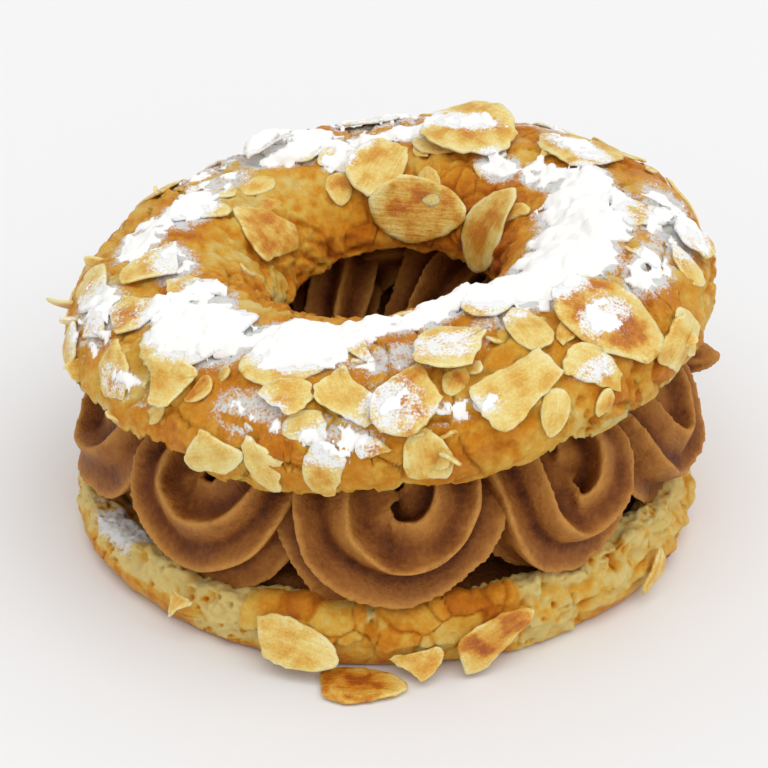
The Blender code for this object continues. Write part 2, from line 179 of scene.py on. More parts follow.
def mesh_object(name, points, faces, finish, attributes=()):
    """A smooth mesh object from points in millimetres."""
    mesh = bpy.data.meshes.new(name)
    mesh.from_pydata((np.asarray(points) * MM).tolist(), [], np.asarray(faces).tolist())
    for label, values in attributes:
        if values.ndim == 1:
            mesh.attributes.new(label, "FLOAT", "POINT").data.foreach_set("value", values)
        else:
            made = mesh.attributes.new(label, "FLOAT_VECTOR", "POINT")
            made.data.foreach_set("vector", values.ravel())
    mesh.shade_smooth()
    mesh.materials.append(finish)
    obj = bpy.data.objects.new(name, mesh)
    bpy.context.scene.collection.objects.link(obj)
    return obj


def ring_faces(around, across):
    """Quads of a grid that closes in both directions."""
    i, j = np.meshgrid(np.arange(around), np.arange(across), indexing="ij")
    i2, j2 = (i + 1) % around, (j + 1) % across
    corners = [i * across + j, i2 * across + j, i2 * across + j2, i * across + j2]
    return np.stack(corners, -1).reshape(-1, 4)


def ring_normals(points):
    """Outward normals of a grid that closes in both directions."""
    round_way = np.roll(points, -1, 0) - np.roll(points, 1, 0)
    across_way = np.roll(points, -1, 1) - np.roll(points, 1, 1)
    return unit(np.cross(round_way, across_way))


def face_normals_at(points, faces):
    """Unit normals at the points of a mesh of quads."""
    corners = [points[faces[:, k]] for k in range(4)]
    face_normals = np.cross(corners[2] - corners[0], corners[3] - corners[1])
    normals = np.zeros_like(points)
    for k, axis in itertools.product(range(4), range(3)):
        normals[:, axis] += np.bincount(faces[:, k], face_normals[:, axis], len(points))
    return unit(normals)


def hollows(points, faces, rounds):
    """How far each point lies below its surroundings; negative on a ridge."""
    edges = np.concatenate([faces[:, [k, (k + 1) % 4]] for k in range(4)])
    links = np.bincount(edges[:, 0], minlength=len(points)).clip(1)[:, None]
    smooth = points
    for _ in range(rounds):
        near = [np.bincount(edges[:, 0], smooth[edges[:, 1], k], len(points)) for k in range(3)]
        smooth = 0.4 * smooth + 0.6 * np.stack(near, -1) / links
    return ((smooth - points) * face_normals_at(points, faces)).sum(1)


def even_line(points, count):
    """Points along a smooth line through profile points, evenly spread: (angles, count, 2)."""
    dense = []
    last = points.shape[1] - 1
    for i in range(last):
        a, b, c, d = (points[:, min(max(i + k, 0), last)] for k in (-1, 0, 1, 2))
        dense += [catmull_rom(a, b, c, d, t) for t in np.linspace(0, 1, 12, endpoint=False)]
    dense = np.stack(dense + [points[:, -1]], 1)
    steps = np.linalg.norm(np.diff(dense, axis=1), axis=-1)
    length = np.concatenate([np.zeros((len(dense), 1)), steps.cumsum(1)], 1)
    out = np.empty((len(dense), count, 2))
    for i in range(len(dense)):
        where = np.linspace(0, length[i, -1], count)
        out[i] = np.stack([np.interp(where, length[i], dense[i, :, k]) for k in (0, 1)], -1)
    return out


def outline(flat, *pairs):
    """Profile points (radius, height) for every angle, where flat is nought at each."""
    return np.stack([np.stack([r + flat, z + flat], -1) for r, z in pairs], 1)


def tree_of(*meshes):
    """A tree for rays, in millimetres, over several (points, faces)."""
    points, faces, start = [], [], 0
    for some, sides in meshes:
        points.append(some.reshape(-1, 3))
        faces += (np.asarray(sides) + start).tolist()
        start += len(points[-1])
    return BVHTree.FromPolygons(np.concatenate(points).tolist(), faces)


# --- the lid's crust ---

LID_ROUND, LID_TOP, LID_UNDER = 740, 112, 20
lid_place = (
    Matrix.Translation(CENTRE) @ Matrix.Translation(LID_OFFSET) @ Matrix.Rotation(-LID_TILT, 4, "Y")
)
LID_AXES = np.array(lid_place.to_3x3())
LID_SHIFT = np.array(lid_place.translation)


def to_world(points):
    return points @ LID_AXES.T + LID_SHIFT


def to_lid(points):
    return (points - LID_SHIFT) @ LID_AXES


def lid_angles(points):
    """Angle round the ring and place over the dome of points in the lid's own frame."""
    radius = np.hypot(points[..., 0], points[..., 1])
    angle = np.degrees(np.arctan2(points[..., 0], -points[..., 1]))
    over = np.degrees(np.arctan2(points[..., 2] - LID_WAIST, radius - LID_MIDDLE))
    return angle, over


def lid_edge(angles):
    """How far the torn outer edge stops above the cut."""
    turn = (angles + 180) % 360 - 180
    places, heights = zip(*LID_EDGE)
    edge = np.interp(turn, places, heights)
    along = ring_points(angles, LID_RADIUS, 0.0)
    bits = sum(size * (cellular(along, size, seed)[2] - 0.5) for size, seed in ((5.2, 5), (1.8, 6)))
    return np.clip(edge + 0.42 * bits + 0.15 * rough(along, 1.3, 7), -0.5, 7.5)


def lid_shell():
    """The lid's smooth form: over the dome from its outer edge to the hole, and back below."""
    angles = np.linspace(-180, 180, LID_ROUND, endpoint=False)[:, None]
    edge = lid_edge(angles)
    start = -np.arcsin((LID_WAIST - edge) / LID_BELOW)
    inner_rise = LID_INNER_RISE * (0.5 - 0.5 * np.cos(np.radians(angles)))
    ragged = 0.8 * rough(ring_points(angles, LID_HOLE_RADIUS, 0.0), 3.0, 9)
    rise = np.clip(inner_rise + ragged, 0, LID_WAIST - 0.2)
    end = math.pi + np.arcsin((LID_WAIST - rise) / LID_BELOW)
    turn = start + (end - start) * np.linspace(0, 1, LID_TOP)[None, :]
    across, up = np.cos(turn), np.sin(turn)
    radius = LID_MIDDLE + LID_HALF * across
    height = LID_WAIST + np.where(up > 0, LID_DOME, LID_BELOW) * up
    wide = angles + 0 * turn
    push = LID_LUMP * lumps(ring_points(wide, radius, height), 13, 21) * np.maximum(up + 0.3, 0)
    top = np.stack([radius + push * across, height + push * up], -1)
    share = np.linspace(0, 1, LID_UNDER + 2)[None, 1:-1, None]
    under = top[:, -1:] * (1 - share) + top[:, :1] * share
    under[..., 1] += 1.6 * np.sin(math.pi * share[..., 0]) ** 0.5
    profile = np.concatenate([top, under], 1)
    return angles + 0 * profile[..., 0], ring_points(angles, profile[..., 0], profile[..., 1])


# Plates between cracks, chips between finer cracks, and pits where the crust is bubbly.
LID_PLATES, LID_CHIPS, LID_PITS = 11.0, 4.2, 2.7


def crust_relief(points, angles, over):
    """How far the baked skin stands out, and its tone from 0 (pale crumb) to 1 (dark)."""
    bend = rough_vectors(points, 9.0, 31)
    _, border, plate = cellular(points + 3.6 * bend, LID_PLATES, 41)
    cracked = smooth_step(rough(points, 20.0, 45), -0.10, 0.25)
    crack = (1 - smooth_step(border, 0.1, 0.9)) * cracked
    curl = (1 - smooth_step(border, 0.4, 2.6)) * cracked
    _, fine_border, chip = cellular(points + 2.0 * bend, LID_CHIPS, 47)
    chipped = smooth_step(rough(points, 11.0, 48, 2), 0.02, 0.28)
    fine_crack = (1 - smooth_step(fine_border, 0.05, 0.55)) * chipped
    hollow, _, _ = cellular(points + 0.8 * bend, LID_PITS, 51)
    inner_left = bump_at(angles, -115, 40, 25) * smooth_step(over, 105, 125)
    patches = smooth_step(rough(points, 8.0, 55, 2), 0.22, 0.42)
    bubbly = np.clip(inner_left + patches, 0, 1)
    pits = bubbly * (1 - smooth_step(hollow, 0.5, 1.5))
    torn = bump_at(angles, -92, 42, 22) * smooth_step(rough(points, 7.0, 57, 2), -0.15, 0.2)
    relief = (
        torn * (0.55 * rough(points, 2.6, 58, 2) + 0.30 * rough(points, 1.2, 59))
        + 0.50 * rough(points, 6.5, 61, 2) + 0.75 * blistered(points, 3.6, 65)
        + 0.30 * blistered(points, 1.7, 66) + 0.10 * rough(points, 0.9, 68)
        + 0.7 * (plate - 0.5) * cracked + 0.5 * (chip - 0.5) * chipped
        + 0.3 * curl - 1.0 * crack - 0.45 * fine_crack - 0.6 * pits - 0.35
    )
    tone = 0.43 + 0.18 * rough(points, 9.0, 71, 2) + 0.09 * rough(points, 2.2, 75, 2)
    tone += 0.20 * (plate - 0.5) * cracked + 0.20 * (chip - 0.5) * chipped
    tone += 0.22 * smooth_step(over, 130, 175) - 0.10 * inner_left - 0.09 * bubbly - 0.08 * curl
    # The pits are painted darker: painted shade in the pits.
    tone += 0.12 * crack + 0.10 * fine_crack + 0.15 * pits - 0.10 * torn
    return relief, tone


# --- icing sugar's places ---

# Angle, place over the dome, half-widths in both, and how much lies there.
SUGAR = (
    (-46, 76, 17, 28, 1.3), (-56, 104, 12, 18, 0.85), (-19, 84, 13, 28, 1.3), (-5, 100, 9, 20, 1.05),
    (8, 102, 12, 18, 0.95), (20, 112, 11, 20, 1.15), (32, 108, 11, 28, 1.3), (46, 102, 12, 34, 1.4),
    (60, 102, 12, 36, 1.4), (76, 102, 12, 34, 1.4), (92, 102, 12, 32, 1.35), (106, 96, 10, 24, 1.05),
    (120, 112, 10, 14, 0.85), (136, 120, 9, 13, 0.95), (88, 42, 17, 22, 0.82), (66, 46, 12, 16, 0.72),
    (122, 72, 13, 13, 0.8), (156, 92, 11, 9, 0.95), (172, 88, 10, 14, 1.05), (-172, 96, 9, 22, 0.85),
    (-155, 82, 13, 22, 1.25), (-166, 118, 7, 12, 0.72), (-112, 94, 15, 20, 0.88), (-97, 72, 13, 20, 0.84),
    (-130, 88, 13, 18, 0.72), (-80, 98, 11, 18, 0.74), (-74, 38, 12, 24, 0.68), (-24, 28, 9, 14, 0.64),
    (-8, 16, 8, 14, 0.70), (1, 34, 6, 16, 0.62), (13, 24, 8, 7, 0.62), (46, 44, 7, 12, 0.70),
    (38, 22, 5, 7, 0.66), (14, 60, 8, 10, 0.68), (-52, 22, 9, 10, 0.58), (2, 64, 10, 14, 0.64),
    (-140, 50, 14, 18, 0.66), (140, 45, 14, 16, 0.6), (180, 60, 12, 14, 0.75), (28, 74, 10, 10, 0.62),
)


def sugar_at(angles, over):
    """How much sugar fell, about 1 where it lies thick."""
    total = np.zeros(np.shape(angles))
    for angle, place, wide, high, much in SUGAR:
        away = (((angles - angle + 180) % 360 - 180) / wide) ** 2 + ((over - place) / high) ** 2
        total = np.maximum(total, much * np.exp(-0.6 * away * away))
    return total


def dust_of(points, normals):
    """The fine sugar on points of the lid, in its own frame."""
    angle, over = lid_angles(points)
    return sugar_at(angle, over) * smooth_step(normals[..., 2], 0.1, 0.6)


# --- materials ---


def linear(red, green, blue):
    """A colour given in the usual 0 to 255 steps, as light."""
    steps = (red, green, blue)
    return tuple(((c / 255 + 0.055) / 1.055) ** 2.4 if c > 10 else c / 255 / 12.92 for c in steps)


class Finish:
    """A procedural material on the Principled shader, built node by node."""

    def __init__(self, name, **values):
        self.made = bpy.data.materials.new(name)
        self.made.use_nodes = True
        self.tree = self.made.node_tree
        self.shader = self.tree.nodes["Principled BSDF"]
        for socket, value in values.items():
            self.shader.inputs[socket.replace("_", " ")].default_value = value

    def node(self, kind, **settings):
        made = self.tree.nodes.new("ShaderNode" + kind)
        for key, value in settings.items():
            setattr(made, key, value)
        return made

    def join(self, source, target):
        self.tree.links.new(source, target)

    def attribute(self, name, vector=False):
        made = self.node("Attribute", attribute_name=name)
        return made.outputs["Vector" if vector else "Fac"]

    def texture(self, scale, detail=3.0, roughness=0.55, vector=None):
        made = self.node("TexNoise")
        made.inputs["Scale"].default_value = scale
        made.inputs["Detail"].default_value = detail
        made.inputs["Roughness"].default_value = roughness
        if vector is None:
            vector = self.node("TexCoord").outputs["Object"]
        self.join(vector, made.inputs["Vector"])
        return made.outputs["Fac"]

    def math(self, operation, first, second, clamp=False):
        made = self.node("Math", operation=operation, use_clamp=clamp)
        for socket, value in zip(made.inputs, (first, second)):
            if isinstance(value, (int, float)):
                socket.default_value = value
            else:
                self.join(value, socket)
        return made.outputs[0]

    def plus(self, value, source, amount, middle=0.0):
        """The value, and so much of how far the source is over its middle."""
        if middle:
            source = self.math("SUBTRACT", source, middle)
        return self.math("ADD", value, self.math("MULTIPLY", source, amount))

    def ramp(self, factor, stops):
        """Colours along a factor, given as (place from 0 to 1, colour) stops."""
        made = self.node("ValToRGB")
        made.color_ramp.interpolation = "EASE" if len(stops) == 2 else "LINEAR"
        elements = made.color_ramp.elements
        while len(elements) < len(stops):
            elements.new(0.5)
        for element, (place, colour) in zip(elements, stops):
            element.position = place
            element.color = (*colour, 1.0)
        self.join(factor, made.inputs[0])
        return made.outputs[0]

    def mix(self, factor, first, second):
        made = self.node("Mix", data_type="RGBA")
        for place, value in ((0, factor), (6, first), (7, second)):
            socket = made.inputs[place]
            if isinstance(value, tuple):
                socket.default_value = (*value, 1.0)
            elif isinstance(value, (int, float)):
                socket.default_value = value
            else:
                self.join(value, socket)
        return made.outputs[2]

    def map(self, value, low, high, to_low=0.0, to_high=1.0):
        made = self.node("MapRange", interpolation_type="SMOOTHSTEP")
        self.join(value, made.inputs["Value"])
        ends = {"From Min": low, "From Max": high, "To Min": to_low, "To Max": to_high}
        for label, number in ends.items():
            made.inputs[label].default_value = number
        return made.outputs["Result"]

    def bump(self, height, distance, strength=1.0):
        made = self.node("Bump")
        made.inputs["Distance"].default_value = distance
        made.inputs["Strength"].default_value = strength
        self.join(height, made.inputs["Height"])
        previous = self.shader.inputs["Normal"].links
        if previous:
            self.join(previous[0].from_socket, made.inputs["Normal"])
        self.join(made.outputs["Normal"], self.shader.inputs["Normal"])

    def colour(self, socket):
        self.join(socket, self.shader.inputs["Base Color"])

    def gloss(self, socket):
        self.join(socket, self.shader.inputs["Roughness"])


SUGAR_WHITE = linear(255, 254, 251)


def dusted(finish, colour, dust, fine_scale=2300.0):
    """Lays specks of sugar over a colour where the dust attribute says so."""
    specks = finish.texture(fine_scale, 2.0)
    patches = finish.texture(420.0, 4.0, 0.65)
    amount = finish.plus(finish.math("MULTIPLY", specks, 0.55), patches, 0.65)
    amount = finish.plus(amount, dust, 0.62)
    cover = finish.map(amount, 0.82, 1.06)
    finish.gloss(finish.map(cover, 0.0, 1.0, finish.shader.inputs["Roughness"].default_value, 0.9))
    return finish.mix(cover, colour, SUGAR_WHITE)


def crust_finish(name):
    f = Finish(name, Roughness=0.34, Specular_IOR_Level=0.28, Subsurface_Weight=0.08,
               Subsurface_Scale=0.002)
    f.shader.inputs["Subsurface Radius"].default_value = (1.0, 0.45, 0.15)
    tone = f.plus(f.attribute("tone"), f.texture(420.0, 7.0, 0.75), 0.62)
    tone = f.plus(tone, f.texture(1700.0, 4.0, 0.6), 0.26)
    tone = f.math("SUBTRACT", tone, 0.455)
    colour = f.ramp(tone, [
        (0.05, linear(255, 226, 142)), (0.24, linear(254, 200, 80)), (0.42, linear(243, 160, 38)),
        (0.60, linear(218, 126, 18)), (0.80, linear(190, 91, 8)), (1.0, linear(138, 54, 4)),
    ])
    f.colour(dusted(f, colour, f.attribute("dust")))
    f.bump(f.texture(600.0, 9.0, 0.8), 0.0014, 0.85)
    return f.made


def cream_finish():
    f = Finish("praline_cream", Roughness=0.46, Specular_IOR_Level=0.20, Subsurface_Weight=0.08,
               Subsurface_Scale=0.0015)
    f.shader.inputs["Subsurface Radius"].default_value = (1.0, 0.5, 0.25)
    patches = f.texture(130.0, 3.0)
    grain = f.texture(1100.0, 3.0)
    tone = f.plus(f.math("MULTIPLY", patches, 0.5), grain, 0.3)
    # Darker in the hollows between the ridges and paler on the crests: painted shade in the valleys and
    # painted light on the crests.
    tone = f.plus(tone, f.attribute("hollow"), -0.9)
    f.colour(f.ramp(tone, [
        (0.0, linear(78, 34, 8)), (0.22, linear(122, 66, 22)), (0.40, linear(156, 96, 40)),
        (0.60, linear(184, 123, 54)), (0.95, linear(208, 149, 73)),
    ]))
    f.gloss(f.map(patches, 0.35, 0.65, 0.40, 0.55))
    f.bump(grain, 0.0006, 0.6)
    f.bump(f.texture(420.0, 6.0, 0.7), 0.0016, 0.6)
    return f.made


def almond_finish():
    f = Finish("toasted_almond", Roughness=0.36, Specular_IOR_Level=0.42, Subsurface_Weight=0.25,
               Subsurface_Scale=0.002)
    f.shader.inputs["Subsurface Radius"].default_value = (1.0, 0.6, 0.25)
    place, look = f.attribute("flake_place", True), f.attribute("flake_look", True)
    parts = f.node("SeparateXYZ")
    f.join(look, parts.inputs[0])
    rim, toast, dust = parts.outputs
    stretch = f.node("VectorMath", operation="MULTIPLY")
    f.join(place, stretch.inputs[0])
    stretch.inputs[1].default_value = (0.20, 2.0, 1.0)
    grain = f.texture(1.0, 2.0, 0.5, stretch.outputs[0])
    blotch = f.texture(0.26, 3.0, 0.5, place)
    # Toasting is deepest in a flake's middle and leaves its rim pale.
    middle = f.math("ADD", f.map(rim, 0.30, 1.0, 0.75, 0.30), f.map(blotch, 0.40, 0.65, 0.0, 0.55))
    tone = f.plus(f.math("MULTIPLY", toast, middle), blotch, 0.4, 0.5)
    tone = f.plus(tone, grain, 0.26, 0.5)
    tone = f.plus(tone, f.texture(2.4, 6.0, 0.7, place), 0.6, 0.5)
    tone = f.math("ADD", tone, 0.05)
    spots = f.map(f.texture(0.5, 2.0, 0.5, place), 0.55, 0.70)
    tone = f.plus(tone, f.math("MULTIPLY", f.map(rim, 0.90, 1.0), spots), 0.35)
    tone = f.math("SUBTRACT", tone, f.map(rim, 0.84, 0.98, 0.0, 0.16))
    colour = f.ramp(tone, [
        (0.0, linear(252, 235, 172)), (0.22, linear(242, 210, 122)), (0.44, linear(229, 177, 72)),
        (0.70, linear(208, 130, 28)), (1.0, linear(170, 86, 12)),
    ])
    f.colour(dusted(f, colour, dust))
    f.bump(grain, 0.0004, 0.6)
    f.bump(f.texture(1.8, 6.0, 0.7, place), 0.0004, 0.7)
    return f.made


def sugar_finish():
    f = Finish("icing_sugar", Base_Color=(*SUGAR_WHITE, 1.0), Roughness=1.0, Specular_IOR_Level=0.3)
    f.bump(f.texture(2200.0, 3.0), 0.0003, 0.35)
    return f.made


# --- the base's crust ---

BASE_ROUND, BASE_WALL, BASE_REST = 960, 56, 42
BASE_PORES, BASE_HOLES, BASE_PLATES = ((1.7, 111), (3.1, 113)), 7.5, 6.5
LEDGE_STRETCH = np.array([0.5, 0.5, 1.5])


def rim_heights(angles):
    rise = BASE_RIM_RISE * np.cos(np.radians(angles - BASE_RIM_RISE_AT))
    return BASE_RIM_HEIGHT + rise + BASE_LUMP * lumps(ring_points(angles, BASE_RADIUS, 0.0), 11, 3)


def base_shell():
    """The base's smooth form: up its outer wall and over the rim, then the inside and underside."""
    angles = np.linspace(-180, 180, BASE_ROUND, endpoint=False)
    top = rim_heights(angles)
    swell = BASE_LUMP * lumps(ring_points(angles, BASE_RADIUS, 0.0), 14, 8)
    outer, inner = BASE_RADIUS + swell, BASE_HOLE_RADIUS - 0.5 * swell
    torn = 0.8 * rough(ring_points(angles, BASE_RADIUS, 0.0), 3.0, 81)
    flat = np.zeros_like(top)
    wall = outline(flat, (outer - 3.5, 0.0), (outer - 1.3, 1.2), (outer, 0.45 * top),
                   (outer - 0.9, 0.82 * top), (outer - 2.4, top + torn),
                   (BASE_RIM_INSIDE + 1.2, top - 0.4))
    rest = outline(flat, (BASE_RIM_INSIDE - 0.6, 0.72 * top), (45.5, 6.0), (40.0, BASE_FLOOR),
                   (32.0, BASE_FLOOR), (25.5, 5.4), (BASE_INNER_RIM, BASE_INNER_RIM_HEIGHT),
                   (inner + 1.4, 8.2), (inner, 4.0), (inner + 1.8, 0.0), (30.0, 0.0), (42.0, 0.0))
    profile = np.concatenate([even_line(wall, BASE_WALL), even_line(rest, BASE_REST)], 1)
    wide = angles[:, None] + 0 * profile[..., 0]
    return wide, ring_points(wide, profile[..., 0], profile[..., 1]), top


def base_pores(points, bend):
    """Bubbles in the torn crumb, from 0 to 1."""
    pores = 0.0
    for size, seed in BASE_PORES:
        near, _, _ = cellular(points + 1.0 * bend + 0.4 * size * bend[..., ::-1], size, seed)
        dense = smooth_step(rough(points, 2.2 * size, seed + 40, 2), -0.35, 0.35)
        pores = np.maximum(pores, dense * (1 - smooth_step(near, 0.18 * size, 0.42 * size)))
    return pores


def base_relief(points, angles, top):
    """How far the base's skin stands out, and its tone."""
    height, radius = points[..., 2], np.hypot(points[..., 0], points[..., 1])
    share = height / top[:, None]
    outside = smooth_step(radius, 50.0, 52.5)
    seen = smooth_step(height, 0.3, 1.6)
    bend = rough_vectors(points, 6.0, 131)
    # A fold of skin hangs over the wall's front, with a ragged edge and one crack.
    along = ring_points(angles, BASE_RADIUS, 0.0)
    hem = 0.50 + 0.10 * rough(along, 6.0, 101) + 0.05 * rough(along, 1.6, 102)
    fold = bump_at(angles, -1, 24, 2.0) * smooth_step(share, hem, hem + 0.05) * outside
    split = bump_at(angles + 1.2 * rough(points, 3.0, 103), -2.5, 0.5, 0.7)
    fold *= 1 - split
    # Torn crumb shows on the rim, and down the wall in places.
    left = bump_at(angles, -52, 34, 12)
    ledge = 0.78 - 0.24 * left + 0.05 * left * rough(along, 5.0, 107, 2)
    rim_crumb = smooth_step(share, ledge, ledge + 0.10) * (1 - 0.85 * fold)
    low = bump_at(angles, -24, 9, 5) * (1 - smooth_step(share, 0.50, 0.75))
    low *= smooth_step(share, 0.1, 0.3)
    chunk = 0.8 * bump_at(angles, 52, 8, 8) * smooth_step(share, 0.45, 0.7)
    chunk += bump_at(angles, 30, 5, 4)
    patches = smooth_step(rough(points, 9.0, 105, 2), 0.30, 0.50) * (1 - left)
    patches *= smooth_step(share, 0.2, 0.5)
    crumb = np.clip(rim_crumb + low + chunk + 0.8 * patches, 0, 1) * (1 - fold)
    pores = base_pores(points, bend)
    big, _, _ = cellular(points + 1.8 * bend, BASE_HOLES, 121)
    holes = (1 - smooth_step(big, 0.9, 2.4)) * np.clip(chunk + 0.6 * rim_crumb, 0, 1)
    # The rest is skin, in plates, with blisters.
    _, border, plate = cellular(points + 2.0 * bend, BASE_PLATES, 125)
    chipped = smooth_step(rough(points, 12.0, 127, 2), -0.2, 0.1) * (1 - crumb)
    crack = (1 - smooth_step(border, 0.05, 0.5)) * chipped
    blisters = smooth_step(rough(points, 4.0, 129, 2), 0.25, 0.5) * outside * (1 - crumb)
    # Broken ledges of crust stand out at the right.
    crags = bump_at(angles, 56, 26, 14) * outside * smooth_step(share, 0.15, 0.35)
    layers = rough(points * LEDGE_STRETCH, 2.8, 171, 3)
    torn = 1.3 * rough(points, 3.6, 151, 3) + 0.35 * rough(points, 0.9, 155) - 0.95 * pores
    relief = seen * (
        1.5 * crags * layers + 0.45 * rough(points, 6.0, 141, 2) + 0.35 * blistered(points, 3.4, 145)
        + 0.12 * rough(points, 1.0, 148) - 0.2 + 1.2 * fold + 0.5 * (plate - 0.5) * chipped
        - 0.5 * crack + 0.35 * blisters + crumb * torn - 1.9 * holes
    )
    tone = 0.32 + 0.15 * rough(points, 8.0, 161, 2) + 0.10 * rough(points, 2.5, 165, 2)
    # The crumb is painted darker in its pores and in the deep holes: painted shade in the hollows.
    tone += crumb * (0.46 * pores + 0.30 * rough(points, 3.2, 167, 3) - 0.28)
    tone += 0.03 * fold + 0.35 * holes - 0.10 * (1 - outside) + 0.16 * blisters
    tone += 0.20 * (plate - 0.5) * chipped + 0.2 * crack - 0.22 * crags * layers
    tone += 0.10 * (1 - smooth_step(share, 0.0, 0.25))
    tone = np.minimum(tone, 0.74) + 0.2 * split * outside * smooth_step(share, 0.2, 0.5)
    return relief, tone


def build_base():
    angles, points, top = base_shell()
    relief, tone = base_relief(points, angles, top)
    normals = ring_normals(points)
    points = points + normals * relief[..., None]
    points[..., 2] = np.maximum(points[..., 2], 0.0)
    dust = 0.80 * bump_at(angles, -61, 5, 4) + 0.35 * bump_at(angles, -80, 10, 10)
    dust *= smooth_step(points[..., 2], 5.0, 9.0)
    points = points.reshape(-1, 3) + np.array(CENTRE)
    faces = ring_faces(BASE_ROUND, angles.shape[1])
    attributes = [("tone", tone.ravel()), ("dust", dust.ravel())]
    return points, faces, attributes


def build_lid():
    angles, points = lid_shell()
    normals = ring_normals(points)
    _, over = lid_angles(points)
    relief, tone = crust_relief(points, angles, over)
    below = np.zeros(points.shape[:2], bool)
    below[:, LID_TOP:] = True
    relief = np.where(below, 0.5 * rough(points, 2.5, 91, 2), relief)
    fade = np.ones(points.shape[1])
    fade[LID_TOP - 3 : LID_TOP + 3] = fade[:3] = fade[-3:] = 0.5
    points = points + normals * (relief * fade[None, :])[..., None]
    tone = np.where(below, 0.24 + 0.2 * rough(points, 3.0, 93, 2), tone)
    tone[:, :3] -= 0.08
    dust = dust_of(points, ring_normals(points) @ LID_AXES.T)
    faces = ring_faces(LID_ROUND, points.shape[1])
    attributes = [("tone", tone.ravel()), ("dust", dust.ravel())]
    return to_world(points).reshape(-1, 3), faces, attributes


# --- the cream ---

SWIRL_RIDGES, SWIRL_DEPTH, SWIRL_ROPE, SWIRL_WARP = (8, 8, 7, 7, 7, 8, 7, 8, 7, 7), 0.36, 10.4, 1.3
SWIRL_TWISTS = (100, 120, 150, 80, 110, 140, 100, 130, 90, 120)
SWIRL_STATIONS, SWIRL_ROUND, SWIRL_HEIGHT, SWIRL_VOXEL, SWIRL_FOOT = 90, 140, 25.0, 0.63, 5.0
# The rope's line: places (sideways, outward, up from the bed) and how thick it is at each.
SWIRL_LOOP = (
    ((0.0, 26.0, 4.0), 0.68), ((-1.5, 26.5, 13.0), 0.75), ((-5.5, 33.0, 19.0), 0.85),
    ((-8.0, 40.0, 17.0), 1.0), ((-6.5, 44.5, 11.5), 1.0), ((-1.0, 46.0, 9.0), 1.0),
    ((5.0, 45.5, 11.5), 1.0), ((7.8, 42.5, 17.5), 0.92), ((5.5, 37.5, 22.0), 0.72),
    ((1.0, 37.0, 22.5), 0.45), ((-1.5, 40.0, 19.5), 0.30),
)
# One swirl ends in a tail, which sticks out of the ring.
TAIL_OF, TAIL_STATIONS, TAIL_ROUND, TAIL_RIDGES, TAIL_TWIST = 4, 24, 60, 8, 40
TAIL_LINE = ((0.0, 48.0, 15.0), (-1.0, 53.0, 15.8), (-2.5, 57.0, 16.0), (-4.0, 61.0, 17.2))
TAIL_RADII = (5.6, 5.2, 3.8, 0.5)


def on_spline(values, places):
    """A Catmull-Rom spline through values, read at places from 0 to 1."""
    values = np.asarray(values, float)
    spans = len(values) - 1
    at = np.minimum((places * spans).astype(int), spans - 1)
    t = (places * spans - at)[:, None]
    return catmull_rom(*(values[np.clip(at + k, 0, spans)] for k in (-1, 0, 1, 2)), t)


def star_rope(line, radii, stations_round, ridges, twist, seed):
    """A rope with sharp ridges and hollow flanks, ragged here and there on its ridges."""
    sections = []
    side = np.array([0.0, 0.0, 1.0])
    turn = 2 * math.pi * np.arange(stations_round) / stations_round
    ridge, phase = np.divmod(turn * ridges / math.tau, 1.0)
    hollow = np.abs(np.sin(math.pi * phase**1.5)) ** 0.66
    last = len(line) - 1
    for i in range(len(line)):
        ahead = unit(line[min(i + 1, last)] - line[max(i - 1, 0)])
        side = unit(side - ahead * side.dot(ahead))
        up = np.cross(ahead, side)
        around = turn + math.radians(twist) * i / last
        deep = SWIRL_DEPTH * (1 + 0.3 * np.sin(2.4 * ridge + seed + 2.0 * i / len(line)))
        reach = radii[i] * (1 - deep * hollow)
        across = np.outer(np.cos(around) * reach, side) + np.outer(np.sin(around) * reach, up)
        sections.append(line[i] + across)
    points = np.stack(sections)
    crest = np.tile(1 - hollow, (len(line), 1))
    outward = unit(points - line[:, None])
    torn = smooth_step(crest, 0.5, 1) * smooth_step(rough(points, 9.0, seed + 3), 0.1, 0.5)
    ragged = 0.40 * rough(points, 5.0, seed, 2) + 0.40 * rough(points, 1.6, seed + 5) * torn
    warp = rough_vectors(points, 13.0, seed + 11)
    return points + outward * ragged[..., None] + SWIRL_WARP * warp


def rope_faces(along, around, start=0):
    """Quads along a rope, and a face over each of its ends."""
    i, j = np.meshgrid(np.arange(along - 1), np.arange(around), indexing="ij")
    here, there, j2 = i * around, (i + 1) * around, (j + 1) % around
    quads = np.stack([here + j, here + j2, there + j2, there + j], -1)
    faces = (quads.reshape(-1, 4) + start).tolist()
    faces.append((np.arange(around)[::-1] + start).tolist())
    faces.append((np.arange(around) + start + (along - 1) * around).tolist())
    return faces


def ring_axes(angle):
    """The ways outward and along the ring at an angle."""
    turn = math.radians(angle)
    outward = np.array([math.sin(turn), -math.cos(turn), 0.0])
    along = np.array([math.cos(turn), math.sin(turn), 0.0])
    return outward, along


def lid_cut_height(x):
    """Height of the lid's tilted cut face."""
    return LID_OFFSET.z + math.tan(LID_TILT) * (x - LID_OFFSET.x)


def placed_line(spots, stations, axes, widen=1.0, out=0.0, stretch=1.0):
    """A smooth line through places (sideways, outward, up from the bed)."""
    sideways, outward, up = on_spline(spots, np.linspace(0, 1, stations)).T
    line = np.outer(outward + out, axes[0]) + np.outer(sideways * widen, axes[1])
    line[:, 2] += BED_HEIGHT + up * stretch
    return line


def placed_radii(radii, stations):
    """How thick such a rope is along its line."""
    return on_spline([[radius] for radius in radii], np.linspace(0, 1, stations))[:, 0]


